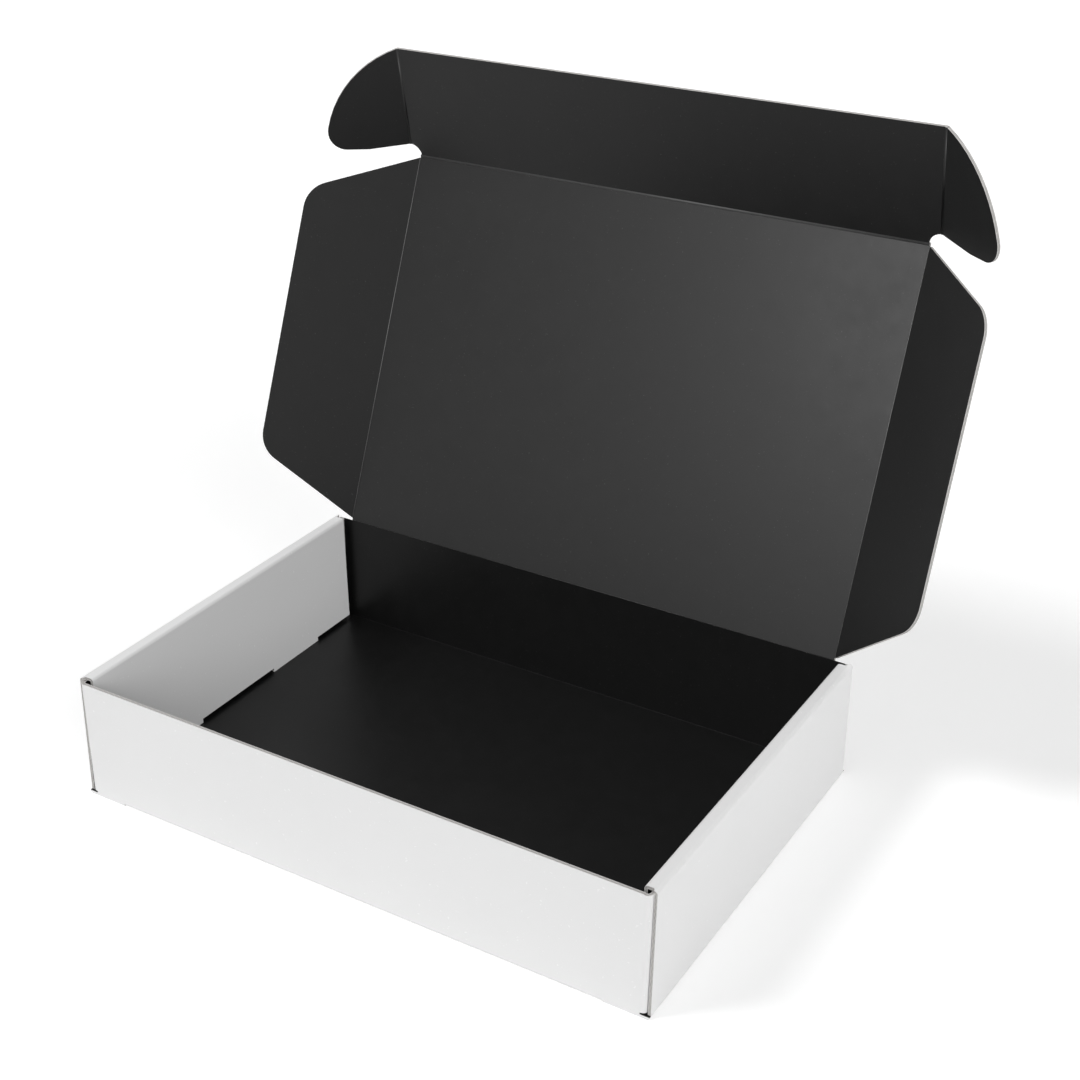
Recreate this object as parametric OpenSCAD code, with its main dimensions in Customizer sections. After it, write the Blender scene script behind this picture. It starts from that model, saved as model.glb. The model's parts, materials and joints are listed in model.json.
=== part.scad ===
// Roll-end mailer box with a tuck-in front flap, die-cut from one sheet of
// thin corrugated board and shown with its lid standing open.
// Origin at the centre of the underside, +X across the side walls,
// the front wall at -Y, the lid's crease at +Y, +Z up. Millimetres.

/* [Box] */
// Width over the two side walls
box_w = 300; // [270:5:330]
// Depth from the front wall to the back wall
box_d = 202; // [180:2:230]
// Height of the side walls
box_h = 63; // [56:1:75]

/* [Board] */
// Thickness of the corrugated board
board_t = 1.5; // [1.3:0.05:1.6]
// Inside radius of a bend that holds the walls up
bend_r = 0.1; // [0.1:0.1:0.6]
// Half of the slit that stands for a crease that turns
crease_gap = 0.15; // [0.1:0.05:0.25]
// Play between layers of board that lie side by side
layer_play = 0.25; // [0.15:0.05:0.3]

/* [Side walls] */
// Lean of the rolled-in walls towards the middle of the box, in degrees
inner_lean = 1.1; // [0.5:0.1:2]
// Space between the front wall and the rolled-in walls, where the tuck flap goes
front_slot = 2.4; // [2.2:0.1:3]
// Space between the back wall and the rolled-in walls
back_slot = 4; // [1:0.5:6]
// How far the raw ends of the side walls are cut back at the top
wall_taper = 2.4; // [1.5:0.1:3]
// How far the raw ends of the side walls are cut back at the bottom
wall_foot = 1.2; // [0.5:0.1:1.4]
// Distance from the middle of the depth to the near end of a locking tab
tab_near = 28.5; // [20:0.5:34]
// Length of a locking tab
tab_l = 38; // [25:1:45]
// Height of the rolled-in walls' lower edge over the floor, between the tabs
tab_shoulder = 2.2; // [1:0.1:3]
// Play round a tab in its slot in the floor
slot_play = 0.3; // [0.2:0.05:0.4]

/* [Corner flaps] */
// Length of the four flaps that are trapped inside the side walls
corner_l = 58; // [40:1:64]
// Outside radius of the upright corner bends
corner_r = 2.8; // [2.2:0.1:3.4]
// Height of the corner flaps' lower edge over the underside
corner_lift = 2.4; // [2:0.1:4]
// Length of the slants at the corner flaps' free ends
corner_slant_l = 8; // [4:1:12]
// Height of the slants at the corner flaps' free ends
corner_slant_h = 12; // [6:1:18]

/* [Lid] */
// Angle from closed at which the lid stands
lid_open = 112; // [95:1:130]
// Angle from closed at which the lid is fully back
lid_back = 150; // [140:1:155]
// Play between a folded-down side flap and the rolled-in wall
lid_play = 0.3; // [0.2:0.05:0.5]

/* [Lid side flaps] */
// Length of the side flaps out from the lid
side_flap_l = 55.5; // [45:0.5:58]
// Set-back of the flaps' outer corner at the tuck end of the lid
side_flap_front = 28.5; // [20:0.5:35]
// Set-back of the flaps' outer corner at the crease end of the lid
side_flap_back = 30; // [28:0.5:36]
// Radius of the flaps' outer corners
side_flap_r = 16; // [8:1:20]
// Fold of the side flaps from the plane of the lid
side_flap_fold = 39; // [25:1:60]

/* [Tuck flap] */
// Length of the tuck flap from its crease
tuck_l = 58.6; // [50:0.2:59]
// Fold of the tuck flap from the plane of the lid
tuck_fold = 33.5; // [20:0.5:45]

/* [Ears] */
// Width of the ears out from the tuck flap
ear_w = 42.3; // [30:0.5:46]
// Height of the ears' widest corner under the flap's free edge
ear_corner_drop = 41; // [36:0.5:43]
// Radius of the widest corner
ear_corner_r = 10; // [6:0.5:12]
// Radius of the long curved edge
ear_sweep_r = 56; // [52:1:68]
// Distance from the tuck flap's crease to the ears
ear_notch = 6.3; // [6.2:0.1:6.8]
// Slope of the ears' lower edge, in degrees
ear_slope = 7; // [4:0.5:9]
// Fold of the ears from the plane of the tuck flap
ear_fold = 36.5; // [20:0.5:50]

/* [Hidden] */
$fn = 48;
card = "whitesmoke";
over = 20;
outer_r = bend_r + board_t;

// Layers across a side wall: outer wall, corner flap, ear and rolled-in wall
corner_x = box_w / 2 - board_t - layer_play / 2;
tuck_w = 2 * (corner_x - board_t - layer_play - board_t / 2);
web_w = 4 * board_t + 2.5 * layer_play;
inner_x = box_w / 2 - web_w;
inner_len = box_h - outer_r;

// Rolled-in wall ends and the floor's slots
roll_y0 = -box_d / 2 + board_t + front_slot;
roll_y1 = box_d / 2 - board_t - back_slot;
shoulder_z = board_t + tab_shoulder;
slot_x = inner_x + outer_r - cos(inner_lean) * outer_r - (inner_len - board_t / 2) * tan(inner_lean);

// Lid: it turns about the inner face of the back wall's top edge. Its side flaps
// turn about their inner face, the tuck flap and the ears about mid-thickness.
hinge_y = box_d / 2 - board_t;
hinge_z = box_h - board_t;
lid_l = box_d - 2 * board_t - front_slot / 2;
lid_w = 2 * (slot_x - board_t - lid_play);
lid_bevel = (lid_back - 90) / 2;
side_flap_root = 1.2;
fold_bevel = 46;
arc_steps = 10;
notch_steps = 6;

// Point at a distance and an angle from a centre
function polar(c, r, a) = [c[0] + r * cos(a), c[1] + r * sin(a)];

// Points along an arc
function arc(c, r, a0, a1, n = arc_steps) =
    [for (i = [0 : n]) polar(c, r, a0 + (a1 - a0) * i / n)];

function unit(v) = v / norm(v);
function heading(v) = atan2(v[1], v[0]);

// Points that round the corner b of the path a, b, c
function round_corner(a, b, c, r) =
    let (
        u = unit(a - b),
        v = unit(c - b),
        half = acos(u * v) / 2,
        mid = b + unit(u + v) * r / sin(half),
        from = heading(b + u * r / tan(half) - mid),
        to = heading(b + v * r / tan(half) - mid),
        turn = (to - from) - 360 * round((to - from) / 360)
    )
    arc(mid, r, from, from + turn);

// Where two circles meet, on the left of the line from the first to the second
function circles_meet(c0, r0, c1, r1) =
    let (
        d = norm(c1 - c0),
        along = (r0 * r0 - r1 * r1 + d * d) / (2 * d),
        side = sqrt(r0 * r0 - along * along),
        u = (c1 - c0) / d
    )
    c0 + u * along + [-u[1], u[0]] * side;

// Quarter or smaller ring of board, turning from angle a0 to a1 round a bend
module bend(a0, a1, inside = bend_r) {
    reach = 4 * (inside + board_t);
    difference() {
        circle(r = inside + board_t);
        circle(r = inside);
        polygon(concat([[0, 0]], arc([0, 0], reach, a1, a0 + 360, 6)));
    }
}

// Section of a side wall: floor edge and outer wall
module outer_wall_section() {
    translate([box_w / 2 - outer_r - over, 0]) square([over, board_t]);
    translate([box_w / 2 - outer_r, outer_r]) bend(270, 360);
    translate([box_w / 2 - board_t, outer_r]) square([board_t, box_h - 2 * outer_r]);
    translate([box_w / 2 - outer_r, box_h - outer_r]) bend(0, 90);
}

// Section of the web over the side wall and the wall that is rolled in
module rolled_section() {
    translate([inner_x + outer_r, box_h - board_t]) square([web_w - 2 * outer_r, board_t]);
    translate([inner_x + outer_r, box_h - outer_r]) {
        bend(90, 180 - inner_lean);
        rotate(-inner_lean) translate([-outer_r, -inner_len]) square([board_t, inner_len]);
    }
}

// Solid with the given side-wall section between two places along the depth
module along_depth(y0, y1) {
    translate([0, y1, 0]) rotate([90, 0, 0]) linear_extrude(y1 - y0) children();
}

// Wedge that leans the raw end of an outer wall back towards its top
module end_cut() {
    rotate([90, 0, 90])
        linear_extrude(box_w)
            polygon([
                [-over, 0], [wall_foot, outer_r], [wall_taper, box_h],
                [wall_taper, box_h + over], [-over, box_h + over]
            ]);
}

module side_wall() {
    difference() {
        along_depth(-box_d / 2, box_d / 2) outer_wall_section();
        translate([0, -box_d / 2, 0]) end_cut();
        translate([0, box_d / 2, 0]) mirror([0, 1, 0]) end_cut();
    }
    difference() {
        along_depth(-box_d / 2, box_d / 2) rolled_section();
        // Both ends of the roll: square over the inner layers, slanted out to the outer wall
        translate([0, 0, board_t]) linear_extrude(box_h)
            polygon([
                [0, -box_d], [0, roll_y0], [corner_x - board_t / 2, roll_y0],
                [box_w / 2 - outer_r, -box_d / 2 + wall_taper], [box_w, -box_d]
            ]);
        translate([0, 0, board_t]) linear_extrude(box_h)
            polygon([
                [0, box_d], [0, roll_y1], [corner_x - board_t / 2, roll_y1],
                [box_w / 2 - outer_r, box_d / 2 - wall_taper], [box_w, box_d]
            ]);
        // Lower edge between the tabs
        translate([0, -tab_near, -over]) cube([box_w, 2 * tab_near, over + shoulder_z]);
        // Lower edge beyond the tabs
        for (s = [-1, 1])
            translate([0, s * (tab_near + tab_l + box_d / 2) - box_d / 2, -over])
                cube([box_w, box_d, over + shoulder_z]);
        // Tabs end inside the floor's thickness
        translate([0, -box_d / 2, -over]) cube([box_w, box_d, over + slot_play]);
    }
}

// Slots in the floor that the tabs lock into
module tab_slots() {
    for (s = [-1, 1])
        translate([slot_x - slot_play, s * (tab_near + tab_l / 2) - tab_l / 2 - slot_play, -over])
            cube([board_t + 2 * slot_play, tab_l + 2 * slot_play, 2 * over]);
}

// Front or back wall with its two corner flaps, standing at the given height
module end_wall(top) {
    half = corner_x - corner_r;
    straight = half - layer_play;
    // Bend up from the floor, and the wall
    translate([-straight, 0, 0]) rotate([90, 0, 90]) linear_extrude(2 * straight) {
        translate([outer_r, 0]) square([over, board_t]);
        translate([outer_r, outer_r]) bend(180, 270);
    }
    translate([-straight, 0, outer_r]) cube([2 * straight, board_t, top - outer_r]);
    for (s = [0, 1]) mirror([s, 0, 0]) {
        // Upright corner bend, which stays under the web
        translate([0, 0, corner_lift]) linear_extrude(top - layer_play - corner_lift) {
            translate([straight - board_t, 0]) square([half - straight + board_t, board_t]);
            translate([half, corner_r]) bend(270, 360, corner_r - board_t);
        }
        // Corner flap, with a slanted free end
        translate([corner_x - board_t, 0, 0]) rotate([90, 0, 90]) linear_extrude(board_t)
            polygon([
                [corner_r, corner_lift], [corner_l - corner_slant_l, corner_lift],
                [corner_l, corner_lift + corner_slant_h], [corner_l, top - corner_slant_h],
                [corner_l - corner_slant_l, top - layer_play], [corner_r, top - layer_play]
            ]);
    }
}

module floor_panel() {
    difference() {
        translate([outer_r - box_w / 2, outer_r - box_d / 2, 0])
            cube([box_w - 2 * outer_r, box_d - 2 * outer_r, board_t]);
        for (s = [0, 1]) mirror([s, 0, 0]) tab_slots();
    }
}

// Bevel that lets the lid lean back past the wall
module hinge_bevel() {
    rotate([90, 0, 90])
        translate([0, 0, -box_w])
            linear_extrude(2 * box_w)
                polygon([
                    [-over, -crease_gap], [0, -crease_gap], [over, -crease_gap - over * tan(lid_bevel)],
                    [over, over], [-over, over]
                ]);
}

module tray() {
    color(card) {
        floor_panel();
        for (s = [0, 1]) mirror([s, 0, 0]) side_wall();
        translate([0, -box_d / 2, 0]) end_wall(hinge_z);
        difference() {
            translate([0, box_d / 2, 0]) mirror([0, 1, 0]) end_wall(hinge_z);
            translate([0, hinge_y, hinge_z]) hinge_bevel();
        }
    }
}

// Places a panel that is drawn flat: its inner face at z 0, y away from the lid's crease
module on_lid() {
    translate([0, hinge_y, hinge_z]) rotate([-lid_open, 0, 0]) rotate([0, 0, 180]) children();
}

module on_tuck() {
    on_lid() translate([0, lid_l, board_t / 2]) rotate([-tuck_fold, 0, 0]) children();
}

// What is cut from a panel's edge, drawn from mid-thickness, to let it fold inwards
module crease_bevel() {
    polygon([
        [-over, over], [crease_gap, over], [crease_gap, 0],
        [crease_gap + over * tan(fold_bevel), -over], [-over, -over]
    ]);
}

// Left and right are those of someone who looks at the front wall
module side_of_lid(left) {
    mirror([left ? 0 : 1, 0, 0]) translate([lid_w / 2, 0, 0]) rotate([0, side_flap_fold, 0]) children();
}

module side_of_tuck(left) {
    mirror([left ? 0 : 1, 0, 0]) translate([tuck_w / 2, 0, 0]) rotate([0, ear_fold, 0]) children();
}

module lid() {
    half = lid_w / 2 - crease_gap;
    color(card) on_lid() difference() {
        translate([-half, 0, 0]) cube([2 * half, lid_l, board_t]);
        rotate([90, 0, 90]) translate([0, 0, -box_w]) linear_extrude(2 * box_w)
            polygon([
                [crease_gap, -over], [crease_gap, 0], [crease_gap + over * tan(lid_bevel), over],
                [-over, over], [-over, -over]
            ]);
        translate([0, lid_l, board_t / 2]) mirror([0, 1, 0]) rotate([90, 0, 90])
            translate([0, 0, -box_w]) linear_extrude(2 * box_w) crease_bevel();
    }
}

module side_flap() {
    a = [crease_gap, side_flap_root];
    b = [side_flap_l, side_flap_back];
    c = [side_flap_l, lid_l - side_flap_front];
    d = [crease_gap, lid_l - side_flap_root];
    linear_extrude(board_t)
        polygon(concat([a], round_corner(a, b, c, side_flap_r), round_corner(b, c, d, side_flap_r), [d]));
}

module lid_flap_left() {
    color(card) on_lid() side_of_lid(true) side_flap();
}

module lid_flap_right() {
    color(card) on_lid() side_of_lid(false) side_flap();
}

module tuck_half() {
    // A round notch at the end of the crease parts the ear from the lid's side flap
    root = arc([tuck_w / 2, 0], ear_notch, 180, 90, notch_steps);
    difference() {
        translate([0, 0, -board_t / 2]) linear_extrude(board_t)
            polygon(concat(
                [[0, 0], [tuck_w / 2 - ear_notch, 0]],
                [for (i = [1 : notch_steps]) root[i]],
                [[tuck_w / 2, tuck_l], [0, tuck_l]]
            ));
        rotate([90, 0, 90]) translate([0, 0, -over]) linear_extrude(box_w) crease_bevel();
        translate([tuck_w / 2, box_d, 0]) mirror([1, 0, 0]) rotate([90, 0, 0])
            linear_extrude(2 * box_d) crease_bevel();
    }
}

module tuck_flap() {
    color(card) on_tuck() {
        tuck_half();
        mirror([1, 0, 0]) tuck_half();
    }
}

module ear() {
    top = [0, tuck_l];
    corner = [ear_w - ear_corner_r, tuck_l - ear_corner_drop];
    sweep = circles_meet(corner, ear_sweep_r - ear_corner_r, top, ear_sweep_r);
    join = heading(corner - sweep);
    low = -90 + ear_slope;
    foot = polar(corner, ear_corner_r, low);
    root_x = foot[0] - (foot[1] - ear_notch) / tan(ear_slope);
    difference() {
        translate([0, 0, -board_t / 2]) linear_extrude(board_t)
            polygon(concat(
                arc(sweep, ear_sweep_r, heading(top - sweep), join),
                arc(corner, ear_corner_r, join, low),
                [[root_x, ear_notch], [0, ear_notch]]
            ));
        translate([0, box_d, 0]) rotate([90, 0, 0]) linear_extrude(2 * box_d) crease_bevel();
    }
}

module tuck_ear_left() {
    color(card) on_tuck() side_of_tuck(true) ear();
}

module tuck_ear_right() {
    color(card) on_tuck() side_of_tuck(false) ear();
}

tray();
lid();
lid_flap_left();
lid_flap_right();
tuck_flap();
tuck_ear_left();
tuck_ear_right();
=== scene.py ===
"""Looks of the corrugated mailer box: liners, raw edges, creases, studio and camera.

Lengths are in metres, in the frame's own axes: the front wall at -Y, the lid's crease at +Y.
"""

import json
import math

import bmesh
import bpy
from mathutils import Matrix, Vector

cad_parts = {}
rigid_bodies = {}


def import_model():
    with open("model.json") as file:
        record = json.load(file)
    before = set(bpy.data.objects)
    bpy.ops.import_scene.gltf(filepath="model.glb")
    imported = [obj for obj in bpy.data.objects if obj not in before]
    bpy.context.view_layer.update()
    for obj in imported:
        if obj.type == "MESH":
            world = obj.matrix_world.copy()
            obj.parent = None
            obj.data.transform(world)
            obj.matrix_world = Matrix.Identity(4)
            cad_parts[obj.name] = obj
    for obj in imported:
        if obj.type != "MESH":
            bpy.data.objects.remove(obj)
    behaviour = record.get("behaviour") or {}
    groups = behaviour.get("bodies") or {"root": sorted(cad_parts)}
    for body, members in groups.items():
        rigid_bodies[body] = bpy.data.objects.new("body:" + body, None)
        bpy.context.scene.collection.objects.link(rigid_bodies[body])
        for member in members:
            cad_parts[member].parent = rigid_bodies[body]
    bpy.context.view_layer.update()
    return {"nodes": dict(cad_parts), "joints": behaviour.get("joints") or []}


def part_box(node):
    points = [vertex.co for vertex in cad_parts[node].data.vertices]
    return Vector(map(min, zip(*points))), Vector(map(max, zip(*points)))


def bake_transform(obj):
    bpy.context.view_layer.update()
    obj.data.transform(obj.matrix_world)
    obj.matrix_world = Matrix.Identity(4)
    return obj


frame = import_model()

MM = 0.001

# Board and bends, in millimetres as in the part's source
BOARD = 1.5
HALF = BOARD / 2
BEND = 0.1
CREASE_GAP = 0.15
FOLD_RADIUS = BEND + HALF
CORNER_RADIUS = 2.05
WEB = 6.625
LEAN = math.radians(1.1)
FLAP_PLAY = 0.125
FLUTE_PITCH = 3.3
HINGE_BEVEL = CREASE_GAP + BOARD * math.tan(math.radians(30))
FOLD_BEVEL = CREASE_GAP + HALF * math.tan(math.radians(46))

# Crease strips, in millimetres: the bead's height, how far a strip reaches into the
# panels beside it and sinks under their faces, and a margin past its own edges that is
# worked out but not used. The last value is the number of flats round each bend.
BEAD = 0.16
STRIP_REACH = 0.12
STRIP_SINK = 0.02
BLEND_MARGIN = 0.25
FAN_STEPS = 8

tray_low, tray_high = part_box("tray")
HALF_WIDTH = tray_high.x / MM
HALF_DEPTH = tray_high.y / MM
HEIGHT = tray_high.z / MM
WEB_UNDERSIDE = HEIGHT - BOARD

# Middle of the board across a side wall's roll, and round the tray's ring of walls
ROLL_CENTRE = HALF_WIDTH - WEB / 2
ROLL_REACH = (WEB - BOARD) / 2
ROLL_TOP = HEIGHT - HALF
RING_X = HALF_WIDTH - BOARD - FLAP_PLAY - HALF
RING_Y = HALF_DEPTH - HALF

# Slack in millimetres when places are compared, and how far a face's normal has to lie
# along an axis to count as tilted, facing that way or square to it
SLACK = 0.05
HAIR = 0.01
TILTED = 0.1
FACING = 0.9
SQUARE_ON = 0.999

# Studio: the floor's width in metres, the sky's share of light, and how much brighter
# the floor is seen than it is lit
FLOOR_WIDTH = 12
SKY_LIGHT = 0.40
FLOOR_LIFT = 0.31

# Camera, worked out from the box's straight edges in the photograph
CAMERA_AT = (0.3907, -0.5942, 0.4999)
CAMERA_AZIMUTH = 30.73
CAMERA_ELEVATION = 27.41
CAMERA_ROLL = 0.405
CAMERA_LENS = 59.69
SENSOR_WIDTH = 36


class Wire:
    """An output in a node tree. Arithmetic on wires adds Math nodes."""

    def __init__(self, nodes, socket):
        self.nodes = nodes
        self.socket = socket

    def __add__(self, other):
        return self.nodes.maths("ADD", self, other)

    def __radd__(self, other):
        return self.nodes.maths("ADD", other, self)

    def __sub__(self, other):
        return self.nodes.maths("SUBTRACT", self, other)

    def __rsub__(self, other):
        return self.nodes.maths("SUBTRACT", other, self)

    def __mul__(self, other):
        return self.nodes.maths("MULTIPLY", self, other)

    def __rmul__(self, other):
        return self.nodes.maths("MULTIPLY", other, self)

    def __truediv__(self, other):
        return self.nodes.maths("DIVIDE", self, other)

    def __rtruediv__(self, other):
        return self.nodes.maths("DIVIDE", other, self)

    def __abs__(self):
        return self.nodes.maths("ABSOLUTE", self)

    def above(self, level, softness):
        """0 under the level, 1 over it, with a soft step between."""
        return self.nodes.node(
            "ShaderNodeMapRange",
            {"interpolation_type": "SMOOTHSTEP"},
            {"Value": self, "From Min": level - softness, "From Max": level + softness},
        )

    def least(self, other):
        return self.nodes.maths("MINIMUM", self, other)

    def most(self, other):
        return self.nodes.maths("MAXIMUM", self, other)

    def root(self):
        return self.nodes.maths("SQRT", self)

    def sine(self):
        return self.nodes.maths("SINE", self)


class Nodes:
    """One node tree, and the ways its nodes are added."""

    def __init__(self, tree):
        self.tree = tree

    def plug(self, socket, value):
        if isinstance(value, Wire):
            self.tree.links.new(value.socket, socket)
        else:
            socket.default_value = value

    def node(self, kind, settings=None, sockets=None, out=0):
        """Adds a node: its settings first, then the values or wires of its sockets."""
        made = self.tree.nodes.new(kind)
        for key, value in (settings or {}).items():
            setattr(made, key, value)
        for key, value in (sockets or {}).items():
            self.plug(made.inputs[key], value)
        return Wire(self, made.outputs[out])

    def maths(self, operation, *values):
        return self.node(
            "ShaderNodeMath", {"operation": operation}, dict(enumerate(values))
        )

    def shows_studio(self):
        """1 for a ray from the camera, in gloss or through glass, 0 for other light."""
        camera, gloss, glass = [
            self.node("ShaderNodeLightPath", out="Is %s Ray" % ray)
            for ray in ("Camera", "Glossy", "Transmission")
        ]
        return camera.most(gloss).most(glass)


class Finish(Nodes):
    """A node material for one surface."""

    def __init__(self, name, ior):
        self.material = bpy.data.materials.new(name)
        self.material.use_nodes = True
        super().__init__(self.material.node_tree)
        self.shader = self.tree.nodes["Principled BSDF"]
        self.shader.inputs["IOR"].default_value = ior

    def place(self):
        """Three wires with the point's place in millimetres."""
        point = self.node("ShaderNodeTexCoord", out="Object")
        parts = [
            self.node("ShaderNodeSeparateXYZ", None, {"Vector": point}, axis)
            for axis in "XYZ"
        ]
        return [part * 1000.0 for part in parts]

    def noise(self, scale, detail=3.0, stretch=(1, 1, 1), roughness=0.5):
        """Noise between 0 and 1; scale is in spots per metre."""
        point = self.node("ShaderNodeTexCoord", out="Object")
        mapped = self.node(
            "ShaderNodeMapping", None, {"Vector": point, "Scale": stretch}
        )
        sockets = {
            "Vector": mapped,
            "Scale": scale,
            "Detail": detail,
            "Roughness": roughness,
        }
        return self.node("ShaderNodeTexNoise", None, sockets, "Fac")

    def between(self, share, first, second):
        """Mix of two colours, each a tuple or a wire."""
        settings = {"data_type": "RGBA"}
        sockets = {0: share, 6: first, 7: second}
        return self.node("ShaderNodeMix", settings, sockets, 2)

    def colour(self, value):
        self.plug(self.shader.inputs["Base Color"], value)

    def roughness(self, value):
        self.plug(self.shader.inputs["Roughness"], value)

    def relief(self, height, depth):
        """Bump from a height between 0 and 1; depth is in metres."""
        sockets = {"Height": height, "Strength": 1.0, "Distance": depth}
        self.plug(
            self.shader.inputs["Normal"], self.node("ShaderNodeBump", None, sockets)
        )


def grey(level, warmth=0.0):
    """Nearly neutral linear colour; warmth lifts red and lowers blue."""
    return (level * (1 + warmth), level, level * (1 - warmth), 1.0)


def flutes_along(run):
    """The board's waves, from -1 to 1, along a wire in millimetres."""
    return (run * (2 * math.pi / FLUTE_PITCH)).sine()


def outside_liner():
    """Coated white paper with faint specks and the flutes just showing through."""
    finish = Finish("outside_liner", 1.45)
    cloud = finish.noise(14, 4)
    speck = finish.noise(620, 1).above(0.75, 0.02)
    base = finish.between(cloud, grey(0.79), grey(0.82))
    finish.colour(finish.between(speck * 0.7, base, grey(0.93)))
    finish.roughness(0.5 + 0.12 * finish.noise(60, 3))
    x, y, z = finish.place()
    flutes = flutes_along(x) * 0.5 + 0.5
    finish.relief(flutes * 0.35 + finish.noise(1500, 2) * 0.65, 0.000012)
    return finish.material


def inside_laminate():
    """Black print under a satin film, with a soft mottle and rare dust."""
    finish = Finish("inside_laminate", 1.365)
    mottle = finish.noise(130, 5, roughness=0.6)
    dust = finish.noise(1400, 0).above(0.83, 0.015)
    base = finish.between(mottle, grey(0.0045), grey(0.007))
    finish.colour(finish.between(dust * 0.4, base, grey(0.08)))
    patch = finish.noise(38, 3)
    finish.roughness(0.285 + 0.1 * mottle + 0.09 * patch)
    finish.relief(mottle * 0.6 + finish.noise(420, 3) * 0.4, 0.00004)
    return finish.material


def crease_inside(name, highlight_and_wear_grey):
    """The same film where it is creased, painted paler in patches along the bead: partly
    wear, partly a painted highlight where the bead catches the light.
    """
    finish = Finish(name, 1.42)
    highlight_and_wear_patches = finish.noise(16, 2) * 0.7 + finish.noise(400, 2) * 0.3
    # painted highlight: the paler patches stand for light caught by the bead as well as for
    # wear
    finish.colour(finish.between(highlight_and_wear_patches, grey(0.01), grey(highlight_and_wear_grey)))
    finish.roughness(0.36 + 0.2 * finish.noise(300, 2))
    finish.relief(finish.noise(800, 2), 0.00004)
    return finish.material


def rounded_corner(across, up, radius):
    """Signed distance in millimetres from a board's middle that turns a rounded corner."""
    outside = (
        across.most(0.0) * across.most(0.0) + up.most(0.0) * up.most(0.0)
    ).root()
    return outside + across.most(up).least(0.0) - radius


def raw_edge(name, through_of, run_of):
    """Cut edge: two pale liners and a darker fluted middle, all a little crushed."""
    finish = Finish(name, 1.4)
    place = finish.place()
    through = through_of(*place)
    run = run_of(*place)
    fibre = finish.noise(1100, 3)
    liner = abs(through).above(0.5, 0.1)
    wave = flutes_along(run) * 0.36
    medium = 1 - abs(through - wave).above(0.16, 0.1)
    core = finish.between(medium, grey(0.38, 0.03), grey(0.54, 0.025))
    paper = finish.between(liner, core, grey(0.70, 0.015))
    finish.colour(finish.between(fibre * 0.3, paper, grey(0.42, 0.03)))
    finish.roughness(0.85)
    finish.relief(liner.most(medium) * 0.7 + fibre * 0.3, 0.00012)
    return finish.material


def roll_through(x, y, z):
    """Distance from the middle of the board across the rolled side walls."""
    wide = abs(x)
    lean = (ROLL_TOP - FOLD_RADIUS - z).most(0.0) * math.tan(LEAN)
    inner = 1 - (wide - ROLL_CENTRE).above(0.0, HAIR)
    across = abs(wide + lean * inner - ROLL_CENTRE) - (ROLL_REACH - FOLD_RADIUS)
    return rounded_corner(across, z - (ROLL_TOP - FOLD_RADIUS), FOLD_RADIUS)


def ring_through(x, y, z):
    """Distance from the middle of the board round the end walls and corner flaps."""
    across = abs(x) - (RING_X - CORNER_RADIUS)
    along = abs(y) - (RING_Y - CORNER_RADIUS)
    return rounded_corner(across, along, CORNER_RADIUS)


def floor_through(x, y, z):
    """Distance from the middle of the floor's board."""
    return z - HALF


def plane_through(normal, middle):
    """The distance function of a flat panel's own board."""

    def through(x, y, z):
        return x * normal.x + y * normal.y + z * normal.z - middle

    return through


OUTSIDE, INSIDE, ROLL_EDGE, RING_EDGE, FLOOR_EDGE = range(5)


def floor_face(x, y, z, out):
    """A face of the floor, of its slots or of the bends under the walls."""
    bend = BOARD + BEND
    if abs(out.z) > FACING:
        return INSIDE if out.z > 0 else OUTSIDE
    side_bend = x > HALF_WIDTH - bend and abs(out.y) < TILTED
    end_bend = y > HALF_DEPTH - bend and abs(out.x) < TILTED
    if side_bend or end_bend:
        return OUTSIDE if out.dot(Vector((x, y, z - HEIGHT / 2))) > 0 else INSIDE
    return FLOOR_EDGE if z < BOARD else ROLL_EDGE


def roll_face(x, z, out):
    """A face of a side wall, its web or its rolled-in wall."""
    foot = out.z < -0.5 and z < HEIGHT / 2
    if abs(out.y) > TILTED or foot:
        return ROLL_EDGE
    hollow = Vector((ROLL_CENTRE, 0, min(z, HEIGHT - 2 * BOARD)))
    away = Vector((x, 0, z)) - hollow
    return OUTSIDE if out.dot(away) > 0 else INSIDE


def tray_face(point, normal):
    """Which surface of the board a face of the tray is.

    The tray's corners are alike, so a face is looked at as if it were at the right back.
    """
    x, y, z = abs(point.x) / MM, abs(point.y) / MM, point.z / MM
    out = Vector(
        (
            math.copysign(1, point.x) * normal.x,
            math.copysign(1, point.y) * normal.y,
            normal.z,
        )
    )
    if z < BOARD + BEND:
        return floor_face(x, y, z, out)
    under_web = z < WEB_UNDERSIDE + HAIR
    in_ring = under_web and x < RING_X + BOARD and y > RING_Y - HALF - SLACK
    in_flap = under_web and abs(x - RING_X) < HALF + SLACK
    web_underside = z > WEB_UNDERSIDE - HAIR and x > HALF_WIDTH - WEB and not in_ring
    if in_ring or in_flap:
        flap_end = in_flap and not in_ring and out.y < -TILTED
        if abs(out.z) > TILTED or flap_end:
            return roll_face(x, z, out) if web_underside else RING_EDGE
        if in_flap and abs(out.x) > FACING:
            return OUTSIDE if out.x > 0 else INSIDE
        if in_ring:
            if abs(out.x) > SQUARE_ON:
                return RING_EDGE
            return OUTSIDE if out.x + out.y > 0 else INSIDE
    return roll_face(x, z, out)


def board_normal(node):
    """Outward normal of a flat panel, from its largest face."""
    largest = max(frame["nodes"][node].data.polygons, key=lambda p: p.area)
    normal = largest.normal.copy()
    return normal if normal.y > 0 else -normal


def board_middle(node, normal):
    """Place of a flat panel's mid-thickness along its normal, in millimetres."""
    levels = [v.co.dot(normal) for v in frame["nodes"][node].data.vertices]
    return (min(levels) + max(levels)) / 2 / MM


liner = outside_liner()
laminate = inside_laminate()
# Crease films with a painted highlight along the bead, partly wear and partly painted light:
# a little paler for the hinge and tuck creases, much paler for the side flaps
bead = crease_inside("crease_bead_highlight", 0.07)
highlight_worn_bead = crease_inside("crease_worn_highlight", 0.30)

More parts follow.
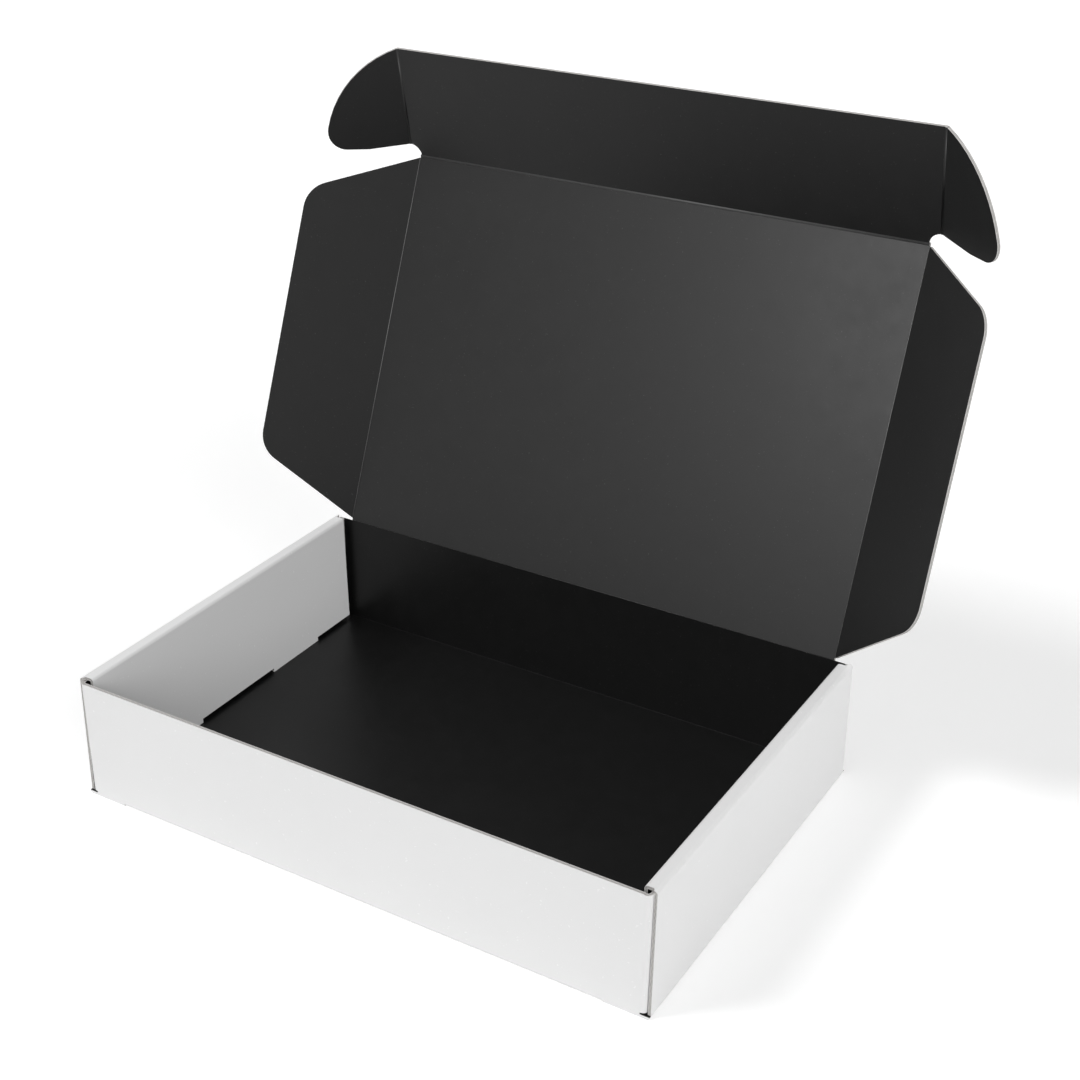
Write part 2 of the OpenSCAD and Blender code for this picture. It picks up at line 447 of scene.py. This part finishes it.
tray = frame["nodes"]["tray"]
tray.data.materials.clear()
for finish in (
    liner,
    laminate,
    raw_edge("side_wall_edge", roll_through, lambda x, y, z: z),
    raw_edge("end_wall_edge", ring_through, lambda x, y, z: x + z),
    raw_edge("slot_edge", floor_through, lambda x, y, z: y),
):
    tray.data.materials.append(finish)
for face in tray.data.polygons:
    face.material_index = tray_face(face.center, face.normal)

panel_edges = {}
for node in frame["nodes"]:
    if node == "tray":
        continue
    normal = board_normal(node)
    middle = board_middle(node, normal)
    panel_edges[node] = raw_edge(
        node + "_edge", plane_through(normal, middle), lambda x, y, z: x + z
    )
    panel = frame["nodes"][node].data
    panel.materials.clear()
    for finish in (liner, laminate, panel_edges[node]):
        panel.materials.append(finish)
    for face in panel.polygons:
        side = face.normal.dot(normal)
        face.material_index = 2 if abs(side) < 0.95 else (0 if side > 0 else 1)


def span_along(node, axis):
    """Where a node begins and ends along an axis."""
    places = [v.co.dot(axis) for v in frame["nodes"][node].data.vertices]
    return min(places), max(places)


def fan(first, last, bulge=0.0):
    """Points round the crease's axis from one corner of the board to the other."""
    start, stop = math.atan2(first[1], first[0]), math.atan2(last[1], last[0])
    turn = (stop - start) - 2 * math.pi * round((stop - start) / (2 * math.pi))
    near, far = math.hypot(*first), math.hypot(*last)
    points = []
    for i in range(FAN_STEPS + 1):
        share = i / FAN_STEPS
        radius = near + (far - near) * share + bulge * math.sin(math.pi * share)
        points.append(
            (
                radius * math.cos(start + turn * share),
                radius * math.sin(start + turn * share),
            )
        )
    return points


def crease(joint, outer_gap, inner_gap, depth, bead_height, film):
    """The strip of board at a crease: white outside, a bead of black film inside.

    The gaps are how far each panel's outer and inner corners stop from the axis, and
    depth is how far the axis lies from the inner faces, all in millimetres.
    """
    parent, child = joint["parent"], joint["child"]
    axis = Vector(joint["axis"]).normalized()
    pivot = Vector(joint["pos_m"])
    near = Vector((0, 1, 0)) if parent == "tray" else board_normal(parent)
    far = board_normal(child)
    middle = sum((v.co for v in frame["nodes"][child].data.vertices), Vector())
    middle /= len(frame["nodes"][child].data.vertices)
    up = (near + far).normalized()
    over = axis.cross(up).normalized()
    if over.dot(middle - pivot) < 0:
        over = -over
    half_fold = near.angle(far) / 2
    if near.dot(over) > 0:
        half_fold = -half_fold

    def corner(side, gap, height):
        """A panel's corner in the crease's own plane; side is -1 or 1."""
        along = (math.cos(half_fold), -math.sin(half_fold))
        out = (math.sin(half_fold), math.cos(half_fold))
        return (
            side * (gap * along[0] + height * out[0]),
            gap * along[1] + height * out[1],
        )

    outer = fan(
        corner(-1, outer_gap, BOARD - depth), corner(1, outer_gap, BOARD - depth)
    )
    inner = fan(corner(1, inner_gap, -depth), corner(-1, inner_gap, -depth), bead_height)
    section = (
        [corner(-1, outer_gap + STRIP_REACH, BOARD - depth - STRIP_SINK)]
        + outer
        + [corner(1, outer_gap + STRIP_REACH, BOARD - depth - STRIP_SINK)]
        + [corner(1, inner_gap + STRIP_REACH, STRIP_SINK - depth)]
        + inner
        + [corner(-1, inner_gap + STRIP_REACH, STRIP_SINK - depth)]
    )
    low, high = span_along(parent, axis), span_along(child, axis)
    first, last = max(low[0], high[0]), min(low[1], high[1])
    base = pivot - axis * pivot.dot(axis)
    mesh = bmesh.new()
    rings = []
    for place in (first, last):
        rings.append(
            [
                mesh.verts.new(base + axis * place + over * (u * MM) + up * (v * MM))
                for u, v in section
            ]
        )
    count = len(section)
    outside_faces = len(outer) + 1
    for i in range(count):
        j = (i + 1) % count
        face = mesh.faces.new((rings[0][i], rings[0][j], rings[1][j], rings[1][i]))
        face.material_index = 0 if i < outside_faces else 1
        face.smooth = True
    for ring in (rings[0], list(reversed(rings[1]))):
        mesh.faces.new(list(reversed(ring))).material_index = 2
    bmesh.ops.recalc_face_normals(mesh, faces=mesh.faces)
    name = joint["name"]
    data = bpy.data.meshes.new(name)
    mesh.to_mesh(data)
    mesh.free()
    for finish in (liner, film, panel_edges[child]):
        data.materials.append(finish)
    strip = bpy.data.objects.new(name, data)
    bpy.context.scene.collection.objects.link(strip)
    reach = max(STRIP_REACH, min(outer_gap, inner_gap)) + BLEND_MARGIN
    pivot - over * (reach * MM)
    pivot + over * (reach * MM)
    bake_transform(strip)


for joint in frame["joints"]:
    # The hinge, the side flaps' creases and the tuck crease get a film with a painted
    # highlight; the other creases get plain laminate.
    if joint["name"] == "lid_crease":
        crease(joint, HINGE_BEVEL, CREASE_GAP, 0.0, BEAD, bead)
    elif joint["name"].startswith("side_flap"):
        crease(joint, CREASE_GAP, CREASE_GAP, 0.0, BEAD, highlight_worn_bead)
    else:
        film = bead if joint["name"] == "tuck_crease" else laminate
        crease(joint, CREASE_GAP, FOLD_BEVEL, HALF, 0.0, film)


def floor():
    """Pale studio floor, white to the camera, that keeps the box's shadow."""
    bpy.ops.mesh.primitive_plane_add(size=FLOOR_WIDTH, location=(0, 0, 0))
    sheet = bpy.context.object
    sheet.name = "studio_floor"
    finish = Finish("studio_floor", 1.45)
    finish.shader.inputs["Specular IOR Level"].default_value = 0.0
    finish.colour(grey(0.86))
    finish.roughness(1.0)
    lift = finish.shows_studio() * FLOOR_LIFT
    finish.plug(finish.shader.inputs["Emission Color"], lift)
    finish.shader.inputs["Emission Strength"].default_value = 1.0
    sheet.data.materials.append(finish.material)


def world():
    """White to the camera and in gloss; a softer white as light."""
    made = bpy.data.worlds.new("studio")
    bpy.context.scene.world = made
    made.use_nodes = True
    nodes = Nodes(made.node_tree)
    level = SKY_LIGHT + (1 - SKY_LIGHT) * nodes.shows_studio()
    nodes.plug(nodes.tree.nodes["Background"].inputs["Color"], level)


def sun(name, towards, strength, softness):
    """Even light from one side, without gloss; softness is its width in degrees."""
    lamp = bpy.data.lights.new(name, "SUN")
    lamp.energy = strength
    lamp.angle = math.radians(softness)
    holder = bpy.data.objects.new(name, lamp)
    bpy.context.scene.collection.objects.link(holder)
    holder.rotation_euler = Vector(towards).to_track_quat("Z", "Y").to_euler()
    holder.visible_glossy = False


def softbox(name, place, target, size, watts):
    """Square lamp that shows only as a blurred reflection in the lid."""
    lamp = bpy.data.lights.new(name, "AREA")
    lamp.shape = "SQUARE"
    lamp.size = size
    lamp.energy = watts
    holder = bpy.data.objects.new(name, lamp)
    bpy.context.scene.collection.objects.link(holder)
    holder.location = place
    holder.visible_diffuse = False
    aim = Vector(target) - Vector(place)
    holder.rotation_euler = aim.to_track_quat("-Z", "Y").to_euler()


def camera():
    azimuth, elevation, roll = (
        math.radians(a) for a in (CAMERA_AZIMUTH, CAMERA_ELEVATION, CAMERA_ROLL)
    )
    back = Vector(
        (
            math.sin(azimuth) * math.cos(elevation),
            -math.cos(azimuth) * math.cos(elevation),
            math.sin(elevation),
        )
    )
    side = Vector((0, 0, 1)).cross(back).normalized()
    up = back.cross(side)
    right = side * math.cos(roll) + up * math.sin(roll)
    top = up * math.cos(roll) - side * math.sin(roll)
    lens = bpy.data.cameras.new("camera")
    lens.lens = CAMERA_LENS
    lens.sensor_width = SENSOR_WIDTH
    lens.clip_start = 0.01
    holder = bpy.data.objects.new("camera", lens)
    bpy.context.scene.collection.objects.link(holder)
    turn = Matrix((right, top, back)).transposed().to_4x4()
    holder.matrix_world = Matrix.Translation(CAMERA_AT) @ turn
    bpy.context.scene.camera = holder


floor()
world()
sun("key", towards=(-0.55, -0.40, 0.74), strength=1.45, softness=20)
sun("fill", towards=(0.84, -0.38, 0.42), strength=1.38, softness=40)
softbox(
    "lid_glow", place=(-0.12, -1.42, 1.05), target=(0.14, 0.17, 0.24), size=0.7, watts=15
)
camera()
bpy.context.scene.view_settings.view_transform = "Standard"
